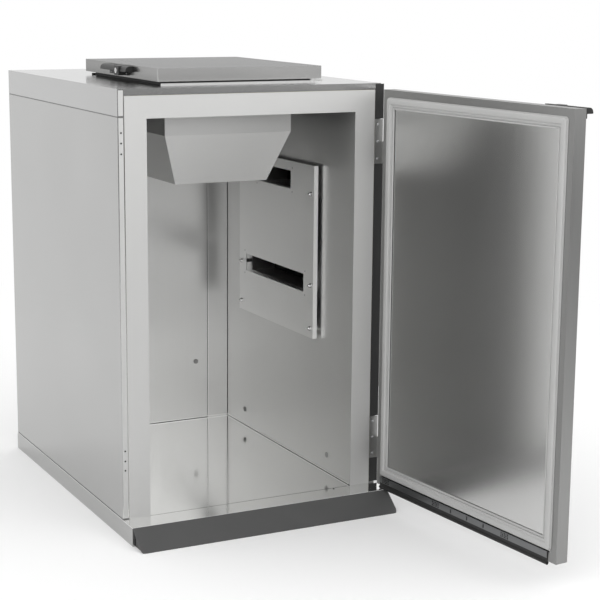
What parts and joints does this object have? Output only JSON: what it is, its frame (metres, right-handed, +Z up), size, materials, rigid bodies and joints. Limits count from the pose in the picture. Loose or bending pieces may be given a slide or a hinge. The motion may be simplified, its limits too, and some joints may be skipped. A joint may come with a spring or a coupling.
{
  "type": "refrigerated waste bin cabinet",
  "caption": "Insulated stainless cabinet that cools a wheeled waste bin: hinged front door, drive-in ramp, throw-in lid over a tapered hopper, and a side-hung cooling unit.",
  "frame": {"origin": "middle of the base on the floor, half way between the threshold's front edge and the cabinet's back", "axes": "+Z up, -Y out of the front, +X to the right seen from the front; the door stands open as in the picture and the lid is shut"},
  "size_m": [1.0715, 1.7645, 1.256],
  "materials": {
    "stainless_satin": "satin brushed stainless sheet",
    "stainless_polished": "bright polished stainless sheet",
    "dark_ramp": "dark grey coated sheet",
    "foam": "rigid insulating foam",
    "black_nylon": "moulded, fine matt",
    "grey_gasket": "soft light-grey profile",
    "black_rubber": "soft black rubber",
    "bright_chrome": "polished",
    "aluminium_fins": "plain rolled",
    "copper": "drawn copper tube",
    "black_enamel": "black enamel",
    "grey_plastic": "moulded grey plastic"
  },
  "bodies": {
    "cabinet": {"acorn_nuts": "bright_chrome", "air_baffle": "stainless_satin", "back_liner": "stainless_satin", "back_outer_panel": "stainless_satin", "baffle_spacers": "bright_chrome", "base_tray": "stainless_satin", "cable_gland": "black_nylon", "ceiling_liner": "stainless_satin", "cold_box": "foam", "compressor": "black_enamel", "compressor_feet": "black_rubber", "condenser_coil": "aluminium_fins", "condenser_motor": "black_enamel", "condenser_shroud": "stainless_satin", "door_hinge_frame_leaves": "stainless_satin", "door_hinge_pins": "bright_chrome", "drip_tray": "stainless_satin", "duct_sleeves": "stainless_satin", "evaporator_coil": "aluminium_fins", "evaporator_fan_frame": "black_nylon", "fan_deck": "stainless_satin", "floor_foam": "foam", "floor_sheet": "stainless_polished", "front_frame": "stainless_satin", "hopper": "stainless_satin", "left_liner": "stainless_satin", "left_outer_panel": "stainless_satin", "lid_hinge_feet": "stainless_satin", "lid_hinge_pins": "bright_chrome", "liner_plugs": "grey_plastic", "motor_bracket": "stainless_satin", "ramp": "dark_ramp", "refrigerant_pipes": "copper", "right_liner": "stainless_satin", "right_outer_panel": "stainless_satin", "thermostat": "grey_plastic", "top_cap": "stainless_satin", "top_foam": "foam", "unit_chassis": "stainless_satin", "unit_cover": "stainless_satin", "wall_foam": "foam"},
    "door": {"door_outer_pan": "stainless_satin", "door_foam": "foam", "door_inner_panel": "stainless_polished", "door_gasket": "grey_gasket", "door_sweep_seal": "black_rubber", "door_sweep_clamp": "aluminium_fins", "door_handle": "black_nylon", "door_hinge_door_leaves": "stainless_satin"},
    "lid": {"lid_outer_pan": "stainless_satin", "lid_foam": "foam", "lid_inner_panel": "stainless_satin", "lid_gasket": "black_rubber", "lid_handle": "black_nylon", "lid_hinge_leaves": "stainless_satin"},
    "door_lock": {"door_lock_barrel": "bright_chrome"},
    "lid_lock": {"lid_lock_barrel": "bright_chrome"},
    "evaporator_fan_rotor": {"evaporator_fan": "black_nylon"},
    "condenser_fan_rotor": {"condenser_fan": "black_nylon"},
    "thermostat_dial": {"thermostat_knob": "black_nylon"}
  },
  "joints": [
    {"name": "door_hinge", "type": "hinge", "parent": "cabinet", "child": "door", "pos_m": [0.397, -0.4675, 0.619], "axis": [0, 0, 1], "range_deg": [-95.5, 34.5]},
    {"name": "lid_hinge", "type": "hinge", "parent": "cabinet", "child": "lid", "pos_m": [0.254, -0.0725, 1.2225], "axis": [0, 1, 0], "range_deg": [0, 100]},
    {"name": "door_lock_turn", "type": "hinge", "parent": "door", "child": "door_lock", "pos_m": [0.50127, -1.13307, 1.1835], "axis": [0.9954, 0.0958, 0], "range_deg": [0, 90]},
    {"name": "lid_lock_turn", "type": "hinge", "parent": "lid", "child": "lid_lock", "pos_m": [-0.269, -0.1085, 1.239], "axis": [-1, 0, 0], "range_deg": [0, 90]},
    {"name": "evaporator_fan_spin", "type": "hinge", "parent": "cabinet", "child": "evaporator_fan_rotor", "pos_m": [0.464, 0.0285, 0.8575], "axis": [0, 0, 1], "continuous": true},
    {"name": "condenser_fan_spin", "type": "hinge", "parent": "cabinet", "child": "condenser_fan_rotor", "pos_m": [0.5295, -0.21, 0.4045], "axis": [0, 1, 0], "continuous": true},
    {"name": "thermostat_turn", "type": "hinge", "parent": "cabinet", "child": "thermostat_dial", "pos_m": [0.535, -0.2715, 0.915], "axis": [0, -1, 0], "range_deg": [0, 270]}
  ]
}
